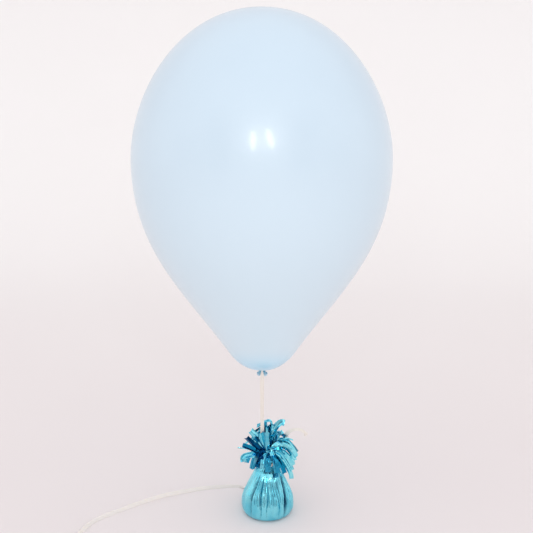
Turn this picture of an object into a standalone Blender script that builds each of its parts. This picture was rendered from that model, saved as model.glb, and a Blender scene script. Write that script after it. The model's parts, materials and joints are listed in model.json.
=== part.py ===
"""Helium-filled latex balloon on a curling ribbon, tethered to a foil-wrapped weight.

Metres, +Z up. The origin is on the floor, under the middle of the balloon.
The taut ribbon stands at X = 0 and Y = TETHER_Y, and the weight is a little to its right.
"""

import math

import bmesh
import bpy
from mathutils import Matrix, Vector

GAP = 0.0003

# Balloon: the widest ring, the crown above it and the cone that closes on the neck
BALLOON_RADIUS = 0.1406
BALLOON_WAIST_Z = 0.4168
BALLOON_TOP_Z = 0.5770
BALLOON_BOTTOM_Z = 0.1792
NECK_OPENING_RADIUS = 0.0030
CONE_RADIUS = 0.0387
CONE_Z = 0.2013
CONE_SLOPE = math.radians(33.8)
LATEX_WALL = 0.00003

# Knot and rolled lip of the neck
KNOT_Z = 0.1753
KNOT_RADIUS = 0.0037
KNOT_HEIGHT = 0.0041
LIP_Z = 0.1708
LIP_RADIUS = 0.0058
LIP_BEAD = 0.00105
LIP_SET_BACK = 0.0030

# Ribbon
RIBBON_WIDTH = 0.0050
RIBBON_THICK = 0.0003
TETHER_Y = -0.0048
SWAY_X_Z = 0.1160
SWAY_Y_Z = 0.1216
TWIST_Z = 0.1415
ROCK_X_Z = 0.1575
ROCK_Y_Z = 0.1630
RIBBON_KNOT_Z = 0.1780

# Weight: its axis, its height to the tie and its foil
WEIGHT_X = 0.0062
WEIGHT_Y = TETHER_Y
CUP_BASE_RADIUS = 0.0265
CUP_TOP_RADIUS = 0.0160
CUP_BASE_Z = 0.0015
CUP_TOP_Z = 0.0440
CUP_WALL = 0.0010
FOIL_THICK = 0.00035
SKIRT_RADIUS = 0.0312
SKIRT_PLEATS = 15
PLEAT_DEPTH = 0.0011
NECK_RADIUS = 0.0061
NECK_LOW_Z = 0.0565
NECK_TOP_Z = 0.0660
PLY_TOP_Z = 0.0680
PLY_LOW_Z = 0.0575
HITCH_Z = 0.0609

# Coil of spare ribbon on the floor
COIL_X = -0.1820
COIL_Y = -0.1180
COIL_INNER = 0.0125
COIL_OUTER = 0.0310
COIL_LOW_Z = 0.0008
TIE_THICK = 0.0004
TIE_WIDTH = 0.0020

# The tail's route: over the back of the foil cone, down to the floor, and off to the coil
TAIL_ROUTE = [
    (-0.0034, -0.0018, 0.0602),
    (-0.0036, 0.0040, 0.0594),
    (-0.0038, 0.0110, 0.0555),
    (-0.0045, 0.0185, 0.0465),
    (-0.0062, 0.0265, 0.0325),
    (-0.0095, 0.0345, 0.0175),
    (-0.0150, 0.0425, 0.0062),
    (-0.0230, 0.0485, 0.0014),
    (-0.0330, 0.0515, 0.0005),
    (-0.0550, 0.0490, 0.0006),
    (-0.0784, 0.0430, 0.0014),
    (-0.1030, 0.0330, 0.0025),
    (-0.1260, 0.0215, 0.0031),
    (-0.1490, 0.0070, 0.0023),
    (-0.1700, -0.0090, 0.0010),
    (-0.1850, -0.0210, 0.0006),
    (-0.1965, -0.0335, 0.0010),
    (-0.2035, -0.0490, 0.0022),
    (-0.2080, -0.0650, 0.0028),
    (-0.2110, -0.0800, 0.0030),
    (-0.2132, -0.0940, 0.0032),
    (-0.2145, -0.1060, 0.0033),
]
# Which way the tail's flat side faces at each point: up, rolled over by half a turn, then on edge
TAIL_FACINGS = (
    [(-0.4, 0.3, 0.85)] * 3
    + [(0.0, 0.0, 1.0)] * 8
    + [(-0.3, 0.5, 0.8), (-0.53, 0.85, 0.0), (-0.3, 0.5, -0.8)]
    + [(0.0, 0.0, -1.0)] * 3
    + [(0.5, 0.1, -0.85), (0.87, 0.1, -0.5)]
    + [(1.0, 0.0, 0.0)] * 3
)

# The short cut end's route: up through the right side of the plume
SHORT_END_ROUTE = [
    (0.0138, -0.0012, 0.0612),
    (0.0165, 0.0002, 0.0655),
    (0.0196, 0.0016, 0.0720),
    (0.0225, 0.0030, 0.0800),
    (0.0256, 0.0046, 0.0880),
    (0.0297, 0.0062, 0.0945),
    (0.0350, 0.0076, 0.0978),
    (0.0410, 0.0088, 0.0984),
    (0.0464, 0.0097, 0.0968),
    (0.0508, 0.0104, 0.0930),
    (0.0524, 0.0106, 0.0896),
]

# The torn foil plies of the plume, from the middle out:
# ring radius, strips round the ring, strip length, and the rise at the root and at the tip
PLIES = [
    (0.0022, 6, 0.044, math.radians(84), math.radians(52)),
    (0.0031, 8, 0.039, math.radians(72), math.radians(18)),
    (0.0040, 10, 0.034, math.radians(58), math.radians(-12)),
    (0.0049, 12, 0.030, math.radians(44), math.radians(-48)),
]
RIBBON_SIDE = math.radians(180)
SHORT_END_SIDE = math.radians(25)

ROUND_SEGMENTS = 36


def clear_scene():
    for old in list(bpy.data.objects):
        bpy.data.objects.remove(old)


def finish_of(name, colour, roughness, metallic=0.0):
    made = bpy.data.materials.new(name)
    made.use_nodes = True
    shader = made.node_tree.nodes["Principled BSDF"]
    shader.inputs["Base Color"].default_value = (*colour, 1.0)
    shader.inputs["Roughness"].default_value = roughness
    shader.inputs["Metallic"].default_value = metallic
    made.diffuse_color = (*colour, 1.0)
    return made


def object_of(name, bm, colour, roughness, metallic=0.0, smooth=True):
    bmesh.ops.recalc_face_normals(bm, faces=bm.faces)
    mesh = bpy.data.meshes.new(name)
    bm.to_mesh(mesh)
    bm.free()
    made = bpy.data.objects.new(name, mesh)
    bpy.context.collection.objects.link(made)
    mesh.materials.append(finish_of(name, colour, roughness, metallic))
    if smooth:
        mesh.shade_smooth()
    return made


def thicken(made, thickness):
    shell = made.modifiers.new("thickness", "SOLIDIFY")
    shell.thickness = thickness
    shell.offset = 0.0
    shell.use_even_offset = False


def bezier(start, start_handle, end_handle, end, steps):
    points = []
    for i in range(steps + 1):
        t = i / steps
        s = 1.0 - t
        points.append(
            Vector(start) * s**3
            + Vector(start_handle) * 3 * s * s * t
            + Vector(end_handle) * 3 * s * t * t
            + Vector(end) * t**3
        )
    return points


def turned(outline, segments=ROUND_SEGMENTS, loop=False):
    """Spins an (r, z) outline round Z. A loop closes on itself, and an open one starts and ends on the axis."""
    bm = bmesh.new()
    verts = [bm.verts.new((r, 0.0, z)) for r, z in outline]
    edges = [bm.edges.new(pair) for pair in zip(verts, verts[1:])]
    if loop:
        edges.append(bm.edges.new((verts[-1], verts[0])))
    bmesh.ops.spin(
        bm,
        geom=verts + edges,
        cent=(0, 0, 0),
        axis=(0, 0, 1),
        angle=math.tau,
        steps=segments,
        use_merge=True,
    )
    bmesh.ops.remove_doubles(bm, verts=bm.verts, dist=1e-7)
    return bm


def band(route, widths, facings):
    """A flat ribbon along the route, each point with its width and the way its flat side faces."""
    bm = bmesh.new()
    rails = []
    for i, point in enumerate(route):
        here = Vector(point)
        ahead = Vector(route[min(i + 1, len(route) - 1)])
        behind = Vector(route[max(i - 1, 0)])
        along = (ahead - behind).normalized()
        side = along.cross(Vector(facings[i])).normalized() * widths[i] / 2
        rails.append((bm.verts.new(here - side), bm.verts.new(here + side)))
    for (a, b), (c, d) in zip(rails, rails[1:]):
        bm.faces.new((a, b, d, c))
    return bm


def smooth(values, per_span):
    """A smooth curve through hand-chosen values: each span is read at per_span places."""
    points = [Vector(value) for value in values]
    out = []
    for i in range(len(points) - 1):
        a, b, c, d = points[max(i - 1, 0)], points[i], points[i + 1], points[min(i + 2, len(points) - 1)]
        for k in range(per_span):
            t = k / per_span
            out.append(
                (b * 2 + (c - a) * t + (a * 2 - b * 5 + c * 4 - d) * t**2 + (b * 3 - a - c * 3 + d) * t**3) / 2
            )
    return out + [points[-1]]


def ribbon(name, route, widths, facings):
    made = object_of(name, band(route, widths, facings), (0.83, 0.78, 0.66), 0.45, smooth=False)
    thicken(made, RIBBON_THICK)
    return made


def ribbon_lump(name, centre, radii):
    bm = bmesh.new()
    bmesh.ops.create_icosphere(bm, subdivisions=2, radius=1.0)
    bmesh.ops.scale(bm, vec=radii, verts=bm.verts)
    bmesh.ops.translate(bm, vec=centre, verts=bm.verts)
    return object_of(name, bm, (0.83, 0.78, 0.66), 0.45)


def balloon_profile():
    """Outer (r, z) points from the neck opening up to the crown."""
    slope = Vector((math.sin(CONE_SLOPE), math.cos(CONE_SLOPE)))
    cone = Vector((CONE_RADIUS, CONE_Z))
    opening = Vector((NECK_OPENING_RADIUS, BALLOON_BOTTOM_Z))
    waist = Vector((BALLOON_RADIUS, BALLOON_WAIST_Z))
    bottom = bezier(opening, opening + Vector((0.002, 0)), cone - slope * 0.028, cone, 6)
    flank = bezier(cone, cone + slope * 0.0936, waist - Vector((0, 0.0933)), waist, 8)
    crown_handle = waist + Vector((0, 0.0711))
    top = Vector((0.0, BALLOON_TOP_Z))
    crown = bezier(waist, crown_handle, top + Vector((0.087, 0)), top, 9)
    return bottom + flank[1:] + crown[1:]


def balloon_envelope():
    outer = balloon_profile()
    inner = []
    for i, point in enumerate(outer):
        along = outer[min(i + 1, len(outer) - 1)] - outer[max(i - 1, 0)]
        inward = Vector((-along.y, along.x)).normalized() * LATEX_WALL
        inner.append(point + inward)
    inner[-1].x = 0.0
    outline = [tuple(point) for point in outer[::-1] + inner]
    object_of("balloon_envelope", turned(outline), (0.56, 0.76, 0.90), 0.3)


def latex_knot():
    """The neck tied in an overhand knot: a stem into the balloon, then the lump of the knot."""
    half = KNOT_HEIGHT / 2
    outline = [
        (0.0, BALLOON_BOTTOM_Z + 0.0008),
        (0.0016, BALLOON_BOTTOM_Z + 0.0008),
        (0.0019, KNOT_Z + half),
        (0.0029, KNOT_Z + 0.8 * half),
        (KNOT_RADIUS, KNOT_Z + 0.35 * half),
        (KNOT_RADIUS * 0.86, KNOT_Z),
        (KNOT_RADIUS * 0.97, KNOT_Z - 0.4 * half),
        (0.0026, KNOT_Z - 0.85 * half),
        (0.0, KNOT_Z - half),
    ]
    bm = turned(outline, 20)
    lump = [v for v in bm.verts if v.co.z < KNOT_Z + half + 1e-5]
    bmesh.ops.translate(bm, vec=(0, 0.0008, 0), verts=lump)
    object_of("latex_knot", bm, (0.10, 0.42, 0.58), 0.35)


def rolled_lip():
    """The mouth of the neck: a short flared skirt that ends in the rolled bead."""
    top = KNOT_Z - KNOT_HEIGHT / 2 - GAP
    bead = [
        (LIP_RADIUS + LIP_BEAD * math.cos(a), LIP_Z + LIP_BEAD * math.sin(a))
        for a in [math.radians(130 - 30 * i) for i in range(9)]
    ]
    outline = [(0.0, top), (0.0022, top)] + bead + [(0.0030, LIP_Z + 0.0004), (0.0, LIP_Z + 0.0008)]
    bm = turned(outline, 24)
    bmesh.ops.translate(bm, vec=(0, LIP_SET_BACK, 0), verts=bm.verts)
    object_of("rolled_lip", bm, (0.10, 0.42, 0.58), 0.35)


def ring_of_cord(name, centre, radius, thick, colour, roughness):
    outline = [
        (radius + thick * math.cos(a), thick * math.sin(a))
        for a in [math.radians(60 * i) for i in range(6)]
    ]
    bm = turned(outline, 24, loop=True)
    bmesh.ops.translate(bm, vec=centre, verts=bm.verts)
    return object_of(name, bm, colour, roughness)


def ribbon_on_balloon():
    ring_of_cord(
        "ribbon_neck_loop", (0, 0, RIBBON_KNOT_Z), 0.0028, 0.0004, (0.83, 0.78, 0.66), 0.45
    )
    ribbon_lump(
        "ribbon_neck_knot", (0, TETHER_Y + 0.0003, RIBBON_KNOT_Z), (0.0014, 0.0008, 0.0009)
    )
    z_points = [ROCK_Y_Z + GAP, ROCK_Y_Z + 0.0020, 0.1690, 0.1730, RIBBON_KNOT_Z - 0.0013]
    widths = [0.0014, RIBBON_WIDTH, RIBBON_WIDTH, 0.0040, 0.0018]
    ribbon("tether_top", [(0, TETHER_Y, z) for z in z_points], widths, [(0, -1, 0)] * 5)


def tether_piece(name, low, high, narrow_low, narrow_high):
    """One stretch of the taut ribbon between two bends. It narrows at an end that bends edgeways."""
    end = 0.0014
    widths = [
        end if narrow_low else RIBBON_WIDTH,
        RIBBON_WIDTH,
        RIBBON_WIDTH,
        end if narrow_high else RIBBON_WIDTH,
    ]
    z_points = [low + GAP, low + 0.0020, high - 0.0020, high - GAP]
    ribbon(name, [(0, TETHER_Y, z) for z in z_points], widths, [(0, -1, 0)] * 4)


def tether():
    tether_piece("tether_bend_lower", SWAY_X_Z, SWAY_Y_Z, False, True)
    tether_piece("tether_span_lower", SWAY_Y_Z, TWIST_Z, True, False)
    tether_piece("tether_span_upper", TWIST_Z, ROCK_X_Z, False, False)
    tether_piece("tether_bend_upper", ROCK_X_Z, ROCK_Y_Z, False, True)


def ribbon_on_weight():
    """The hitch round the gathered neck, the riser up to the first bend, and the short cut end."""
    half = 0.0023
    radius = NECK_RADIUS + GAP
    outline = [
        (radius, HITCH_Z - half),
        (radius + RIBBON_THICK, HITCH_Z - half),
        (radius + RIBBON_THICK, HITCH_Z + half),
        (radius, HITCH_Z + half),
    ]
    bm = turned(outline, 32, loop=True)
    bmesh.ops.translate(bm, vec=(WEIGHT_X, WEIGHT_Y, 0), verts=bm.verts)
    object_of("ribbon_hitch_loop", bm, (0.83, 0.78, 0.66), 0.45)
    knot_x = WEIGHT_X - radius - RIBBON_THICK - 0.0018 - GAP
    ribbon_lump("ribbon_hitch_knot", (knot_x, WEIGHT_Y, HITCH_Z), (0.0018, 0.0024, 0.0024))
    riser = [
        (knot_x, TETHER_Y, HITCH_Z + 0.0028),
        (knot_x, TETHER_Y, 0.0705),
        (-0.0017, TETHER_Y, 0.0800),
        (-0.0003, TETHER_Y, 0.0920),
        (0.0, TETHER_Y, 0.1040),
        (0.0, TETHER_Y, SWAY_X_Z - GAP),
    ]
    ribbon("ribbon_riser", riser, [0.0020, 0.0024, 0.0040, 0.0048, 0.0050, 0.0050], [(0, -1, 0)] * 6)
    turn = [(0.3, -0.9, 0.3)] * 3 + [(-0.3, -0.8, 0.6)] * 3 + [(-0.2, -0.3, 0.9)] * 5
    route = smooth(SHORT_END_ROUTE, 2)
    widths = [0.0022, 0.0026, 0.0032, 0.0038, 0.0044] + [RIBBON_WIDTH] * (len(route) - 5)
    ribbon("ribbon_short_end", route, widths, smooth(turn, 2))


def ribbon_tail():
    """The tail lies on the floor, rolls over once, then turns on edge where it enters the coil."""
    route = smooth(TAIL_ROUTE, 3)
    widths = [0.0024, 0.0028, 0.0034, 0.0042] + [RIBBON_WIDTH] * (len(route) - 4)
    ribbon("ribbon_tail", route, widths, smooth(TAIL_FACINGS, 3))


def ribbon_coil():
    """Spare ribbon wound on edge, held by one narrow tie."""
    top = COIL_LOW_Z + RIBBON_WIDTH + 0.0004
    outline = [
        (COIL_INNER, COIL_LOW_Z),
        (COIL_OUTER, COIL_LOW_Z),
        (COIL_OUTER, top),
        (COIL_INNER, top),
    ]
    bm = turned(outline, 40, loop=True)
    bmesh.ops.translate(bm, vec=(COIL_X, COIL_Y, 0), verts=bm.verts)
    object_of("ribbon_coil", bm, (0.83, 0.78, 0.66), 0.45, smooth=False)

    clear = GAP + TIE_THICK / 2
    near, far = COIL_INNER - clear, COIL_OUTER + clear
    low, high = COIL_LOW_Z - clear, top + clear
    bm = bmesh.new()
    corners = [(near, low), (far, low), (far, high), (near, high)]
    verts = [bm.verts.new((x, -TIE_WIDTH / 2, z)) for x, z in corners]
    edges = [bm.edges.new((verts[i], verts[(i + 1) % 4])) for i in range(4)]
    grown = bmesh.ops.extrude_edge_only(bm, edges=edges)["geom"]
    ends = [g for g in grown if isinstance(g, bmesh.types.BMVert)]
    bmesh.ops.translate(bm, vec=(0, TIE_WIDTH, 0), verts=ends)
    bmesh.ops.rotate(bm, cent=(0, 0, 0), matrix=Matrix.Rotation(math.radians(40), 3, "Z"), verts=bm.verts)
    bmesh.ops.translate(bm, vec=(COIL_X, COIL_Y, 0), verts=bm.verts)
    tie = object_of("coil_tie", bm, (0.83, 0.78, 0.66), 0.45, smooth=False)
    thicken(tie, TIE_THICK)


def weight_core():
    """The upturned cup that gives the cone its shape, and the plaster cast inside it."""
    base, top = CUP_BASE_Z, CUP_TOP_Z
    outline = [
        (0.0, top),
        (CUP_TOP_RADIUS, top),
        (CUP_BASE_RADIUS, base),
        (CUP_BASE_RADIUS - CUP_WALL, base),
        (CUP_TOP_RADIUS - CUP_WALL, top - CUP_WALL),
        (0.0, top - CUP_WALL),
    ]
    cup = turned(outline, 32)
    bmesh.ops.translate(cup, vec=(WEIGHT_X, WEIGHT_Y, 0), verts=cup.verts)
    object_of("weight_cup", cup, (0.85, 0.85, 0.83), 0.4, smooth=False)

    inset = CUP_WALL + GAP
    outline = [
        (0.0, top - inset),
        (CUP_TOP_RADIUS - inset - 0.0001, top - inset),
        (CUP_BASE_RADIUS - inset - 0.0001, base + 0.0002),
        (0.0, base + 0.0002),
    ]
    fill = turned(outline, 32)
    bmesh.ops.translate(fill, vec=(WEIGHT_X, WEIGHT_Y, 0), verts=fill.verts)
    object_of("plaster_fill", fill, (0.80, 0.78, 0.74), 0.9, smooth=False)

    outline = [(0.0, 0.0), (0.0225, 0.0), (0.0225, 0.0003), (0.0, 0.0003)]
    disc = turned(outline, 40)
    bmesh.ops.translate(disc, vec=(WEIGHT_X, WEIGHT_Y, 0), verts=disc.verts)
    object_of("base_disc", disc, (0.62, 0.52, 0.40), 0.8, smooth=False)


def foil_wrap():
    """The pleated foil over the cup, from the hem turned under it to the gathered neck."""
    outline = [
        (0.0205, 0.0008),
        (0.0275, 0.0007),
        (0.0300, 0.0028),
        (SKIRT_RADIUS, 0.0080),
        (0.0300, 0.0160),
        (0.0268, 0.0270),
        (0.0225, 0.0380),
        (0.0178, 0.0470),
        (0.0118, 0.0535),
        (NECK_RADIUS, NECK_LOW_Z),
        (NECK_RADIUS, NECK_TOP_Z),
    ]
    bm = bmesh.new()
    verts = [bm.verts.new((r - FOIL_THICK / 2, 0, z)) for r, z in outline]
    edges = [bm.edges.new(pair) for pair in zip(verts, verts[1:])]
    bmesh.ops.spin(
        bm,
        geom=verts + edges,
        cent=(0, 0, 0),
        axis=(0, 0, 1),
        angle=math.tau,
        steps=SKIRT_PLEATS * 4,
        use_merge=True,
    )
    for v in bm.verts:
        radius = math.hypot(v.co.x, v.co.y)
        angle = math.atan2(v.co.y, v.co.x)
        height = (v.co.z - 0.003) / (NECK_LOW_Z - 0.003)
        depth = PLEAT_DEPTH * max(0.0, math.sin(math.pi * min(1.0, max(0.0, height))))
        pleat = depth * (0.5 - 0.5 * math.cos(SKIRT_PLEATS * angle))
        v.co.x *= (radius - pleat) / radius
        v.co.y *= (radius - pleat) / radius
    bmesh.ops.translate(bm, vec=(WEIGHT_X, WEIGHT_Y, 0), verts=bm.verts)
    wrap = object_of("foil_wrap", bm, (0.13, 0.55, 0.68), 0.25, 1.0)
    thicken(wrap, FOIL_THICK)
    ring_of_cord(
        "neck_band", (WEIGHT_X, WEIGHT_Y, 0.0578), NECK_RADIUS + GAP + 0.0003, 0.0003, (0.7, 0.85, 0.9), 0.3
    )


def apart(a, b):
    return abs((a - b + math.pi) % math.tau - math.pi)


def fringe_ply(number, radius, strips, length, rise, tip_rise):
    """One ply of foil: a band gathered in the neck, torn into strips above it."""
    bm = bmesh.new()
    low = []
    for i in range(strips):
        angle = math.tau * i / strips
        low.append(bm.verts.new((radius * math.cos(angle), radius * math.sin(angle), PLY_LOW_Z)))
    edges = [bm.edges.new((low[i], low[(i + 1) % strips])) for i in range(strips)]
    grown = bmesh.ops.extrude_edge_only(bm, edges=edges)["geom"]
    top = [g for g in grown if isinstance(g, bmesh.types.BMVert)]
    bmesh.ops.translate(bm, vec=(0, 0, PLY_TOP_Z - PLY_LOW_Z), verts=top)
    rim = [g for g in grown if isinstance(g, bmesh.types.BMEdge) and g.verts[0] in top and g.verts[1] in top]
    steps = 6
    for i, edge in enumerate(rim):
        middle = (edge.verts[0].co + edge.verts[1].co) / 2
        out = Vector((middle.x, middle.y, 0)).normalized()
        angle = math.atan2(out.y, out.x)
        if apart(angle, RIBBON_SIDE) < math.radians(28) or apart(angle, SHORT_END_SIDE) < math.radians(19):
            continue
        side = Vector((-out.y, out.x, 0))
        reach = length * (1.0 + 0.12 * math.sin(2.4 * i + number))
        centre = middle
        for k in range(steps):
            pitch = rise + (tip_rise - rise) * (k + 0.5) / steps
            centre = centre + (out * math.cos(pitch) + Vector((0, 0, math.sin(pitch)))) * reach / steps
            width = 0.0022 + 0.0014 * math.sin(math.pi * (k + 1) / (steps + 1))
            new = bmesh.ops.extrude_edge_only(bm, edges=[edge])["geom"]
            edge = next(g for g in new if isinstance(g, bmesh.types.BMEdge) and all(v in new for v in g.verts))
            for v in edge.verts:
                sign = 1.0 if (v.co - centre).dot(side) > 0 else -1.0
                v.co = centre + side * sign * width / 2
    bmesh.ops.translate(bm, vec=(WEIGHT_X, WEIGHT_Y, 0), verts=bm.verts)
    ply = object_of(f"fringe_ply_{number}", bm, (0.10, 0.50, 0.66), 0.22, 1.0, smooth=False)
    thicken(ply, 0.0003)


clear_scene()
balloon_envelope()
latex_knot()
rolled_lip()
ribbon_on_balloon()
tether()
ribbon_on_weight()
ribbon_tail()
ribbon_coil()
weight_core()
foil_wrap()
for number, (radius, strips, length, rise, tip_rise) in enumerate(PLIES, start=1):
    fringe_ply(number, radius, strips, length, rise, tip_rise)
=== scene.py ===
"""A latex balloon on a curling ribbon, tethered to a foil-wrapped weight."""

import json
import math
import random

import bmesh
import bpy
from mathutils import Matrix, Vector, noise


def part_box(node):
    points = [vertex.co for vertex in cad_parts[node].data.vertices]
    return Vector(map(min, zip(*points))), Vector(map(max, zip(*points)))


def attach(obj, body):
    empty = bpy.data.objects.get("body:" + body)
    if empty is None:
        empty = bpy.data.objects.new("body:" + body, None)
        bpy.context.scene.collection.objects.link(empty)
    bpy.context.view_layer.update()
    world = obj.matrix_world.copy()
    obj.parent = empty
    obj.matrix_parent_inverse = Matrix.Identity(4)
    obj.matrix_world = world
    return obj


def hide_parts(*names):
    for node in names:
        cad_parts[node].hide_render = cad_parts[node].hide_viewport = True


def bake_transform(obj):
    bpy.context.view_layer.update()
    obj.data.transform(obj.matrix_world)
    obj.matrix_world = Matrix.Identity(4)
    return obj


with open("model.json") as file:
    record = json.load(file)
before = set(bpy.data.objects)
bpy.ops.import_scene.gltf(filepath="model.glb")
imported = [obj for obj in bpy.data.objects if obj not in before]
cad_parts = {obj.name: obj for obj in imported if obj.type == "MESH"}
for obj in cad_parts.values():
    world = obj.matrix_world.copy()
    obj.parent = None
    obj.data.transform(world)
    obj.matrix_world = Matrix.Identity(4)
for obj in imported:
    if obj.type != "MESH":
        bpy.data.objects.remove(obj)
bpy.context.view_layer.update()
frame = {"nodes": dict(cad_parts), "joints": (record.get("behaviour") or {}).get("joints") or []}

# ---------------------------------------------------------------------------------------------
# Camera, lights and the pale sweep that the object stands on. Two small strobes close over the
# camera make the pair of highlights on the latex, and big soft boxes do the rest.
# ---------------------------------------------------------------------------------------------

# Lengths are in metres and angles in degrees, unless a comment or a conversion says otherwise
CAMERA_LOOKS_DOWN = 13.78
SHARP_EDGE = math.radians(50)

camera = bpy.data.objects.new("camera", bpy.data.cameras.new("camera"))
bpy.context.scene.collection.objects.link(camera)
camera.data.lens = 56.0
camera.data.sensor_width = 36.0
camera.location = (0.005, -0.9, 0.52)
camera.rotation_euler = (math.radians(90 - CAMERA_LOOKS_DOWN), 0, 0)
bpy.context.scene.camera = camera
bpy.context.scene.view_settings.view_transform = "Standard"
bpy.context.scene.view_settings.look = "None"


class Socket:
    """A value inside a set of nodes. Arithmetic on it adds the nodes that work it out."""

    def __init__(self, nodes, socket):
        self.nodes = nodes
        self.socket = socket

    def math(self, operation, *others):
        """Any sum that the Math node knows, of this value and the others."""
        return self.nodes.node("Math", dict(enumerate((self, *others))), operation=operation)

    def __add__(self, other):
        return self.math("ADD", other)

    def __mul__(self, other):
        return self.math("MULTIPLY", other)

    def part(self, axis):
        """One number of a vector: axis 0, 1 or 2."""
        return self.nodes.node("SeparateXYZ", {"Vector": self}, output=axis)

    def spread(self, low, high, to_low=0.0, to_high=1.0):
        """Maps low..high smoothly to to_low..to_high, and holds the ends."""
        inputs = {"Value": self, "From Min": low, "From Max": high, "To Min": to_low, "To Max": to_high}
        return self.nodes.node("MapRange", inputs, interpolation_type="SMOOTHSTEP")

    def mix(self, a, b):
        """Colour a where this value is 0, and colour b where it is 1."""
        return self.nodes.node("Mix", {0: self, 6: a, 7: b}, output=2, data_type="RGBA")

    def noise(self, scale, detail=2.0, roughness=0.5, stretch=(1, 1, 1)):
        """A cloudy pattern read at this place. A stretch below 1 draws it out along that axis."""
        place = self.nodes.node("Mapping", {"Vector": self, "Scale": stretch})
        inputs = {"Vector": place, "Scale": scale, "Detail": detail, "Roughness": roughness}
        return self.nodes.node("TexNoise", inputs)


class Nodes:
    """The nodes of one material, or of the room round the object."""

    def __init__(self, tree):
        self.tree = tree

    def feed(self, slot, value):
        """Links a value into a socket, or sets the socket if the value is plain."""
        if isinstance(value, Socket):
            self.tree.links.new(value.socket, slot)
        else:
            slot.default_value = value

    def node(self, kind, inputs, output=0, **settings):
        """Adds any node: its settings first, then the values or links of its sockets."""
        made = self.tree.nodes.new("ShaderNode" + kind)
        for name, value in settings.items():
            setattr(made, name, value)
        for name, value in inputs.items():
            self.feed(made.inputs[name], value)
        return Socket(self, made.outputs[output])


class Finish(Nodes):
    """One material: a Principled shader with its constants, and the coordinates that patterns use."""

    def __init__(self, name, **constants):
        self.material = bpy.data.materials.new(name)
        self.material.use_nodes = True
        super().__init__(self.material.node_tree)
        self.shader = self.tree.nodes["Principled BSDF"]
        self.at = self.node("TexCoord", {}, output="Object")
        self.uv = self.node("TexCoord", {}, output="UV")
        for socket, value in constants.items():
            self.shader.inputs[socket.replace("_", " ")].default_value = value

    def set(self, socket, value):
        """Feeds one of the shader's own sockets."""
        self.feed(self.shader.inputs[socket], value)

    def bump(self, height, strength, distance):
        """Fine relief, too small for the mesh."""
        inputs = {"Height": height, "Strength": strength, "Distance": distance}
        self.set("Normal", self.node("Bump", inputs))


def colour(red, green, blue):
    """A colour as a screen shows it, 0 to 255, turned into the linear values that shaders use."""
    shown = [level / 255 for level in (red, green, blue)]
    return (*[c / 12.92 if c <= 0.04045 else ((c + 0.055) / 1.055) ** 2.4 for c in shown], 1.0)


def piece(name, bm, finish, recalculate=True):
    """Turns a bmesh into a named object with its finish. Solidified sheets keep their normals."""
    if recalculate:
        bmesh.ops.recalc_face_normals(bm, faces=bm.faces)
    mesh = bpy.data.meshes.new(name)
    bm.to_mesh(mesh)
    bm.free()
    made = bpy.data.objects.new(name, mesh)
    bpy.context.scene.collection.objects.link(made)
    mesh.materials.append(finish.material)
    mesh.shade_smooth()
    mesh.set_sharp_from_angle(angle=SHARP_EDGE)
    return made


def grid(across, along, place):
    """A sheet of quads. place(u, v) gives the spot in space for u and v from 0 to 1."""
    bm = bmesh.new()
    bm.loops.layers.uv.new("UVMap")
    bmesh.ops.create_grid(bm, x_segments=across, y_segments=along, size=0.5, calc_uvs=True)
    for v in bm.verts:
        v.co = place(v.co.x + 0.5, v.co.y + 0.5)
    return bm


SWEEP_WIDTH = 14.0
SWEEP_FLOOR = 8.6
SWEEP_BEND = 1.1
SWEEP_WALL = 2.6
FLOOR_END_Y = 1.0


def sweep_place(u, v):
    """Floor towards the camera, a wide curve, then a wall."""
    quarter = SWEEP_BEND * math.pi / 2
    run = v * (SWEEP_FLOOR + quarter + SWEEP_WALL)
    past_floor = run - SWEEP_FLOOR
    x = (u - 0.5) * SWEEP_WIDTH
    if past_floor < 0:
        return Vector((x, past_floor + FLOOR_END_Y, 0))
    if past_floor < quarter:
        turn = past_floor / SWEEP_BEND
        return Vector((x, FLOOR_END_Y + SWEEP_BEND * math.sin(turn), SWEEP_BEND * (1 - math.cos(turn))))
    return Vector((x, FLOOR_END_Y + SWEEP_BEND, SWEEP_BEND + past_floor - quarter))


sweep_finish = Finish("sweep_paper", Roughness=0.9, Specular_IOR_Level=0.1)
sweep_mottle = sweep_finish.at.noise(2.0, detail=2.0) * 0.12
# Painted shade: the paper is painted darker towards the near end of the floor and lighter up the curve and
# wall; the mottle on it is real.
sweep_shade_and_mottle = sweep_finish.at.part(1).spread(-0.35, 2.1, 0.0, 0.90) + sweep_mottle
sweep_finish.set("Base Color", sweep_shade_and_mottle.mix(colour(227, 220, 221), colour(245, 245, 245)))
sweep = piece("sweep", grid(8, 130, sweep_place), sweep_finish)


def soft_box(name, place, target, width, height, power, tilt=0, mirrored=True):
    """An oval soft box, aimed at a point. No glossy surface shows one that isn't mirrored."""
    made = bpy.data.objects.new(name, bpy.data.lights.new(name, "AREA"))
    bpy.context.scene.collection.objects.link(made)
    made.data.shape = "ELLIPSE"
    made.data.size = width
    made.data.size_y = height
    made.data.energy = power
    made.location = place
    aim = (Vector(target) - Vector(place)).to_track_quat("-Z", "Y").to_matrix()
    made.rotation_euler = (aim @ Matrix.Rotation(math.radians(tilt), 3, "Z")).to_euler()
    made.visible_glossy = mirrored


BALLOON_MIDDLE = (0, 0, 0.42)
soft_box("strobe_left", (-0.163, -1.34, 0.885), BALLOON_MIDDLE, 0.110, 0.31, 1.30, tilt=2)
soft_box("strobe_right", (0.168, -1.34, 0.912), BALLOON_MIDDLE, 0.125, 0.33, 1.50, tilt=20)
soft_box("umbrella", (0, -1.36, 0.92), BALLOON_MIDDLE, 0.58, 0.40, 0.24)
soft_box("front_fill", (0.9, -2.2, 0.62), (0, 0, 0.30), 1.8, 0.76, 1.2, mirrored=False)

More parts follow.
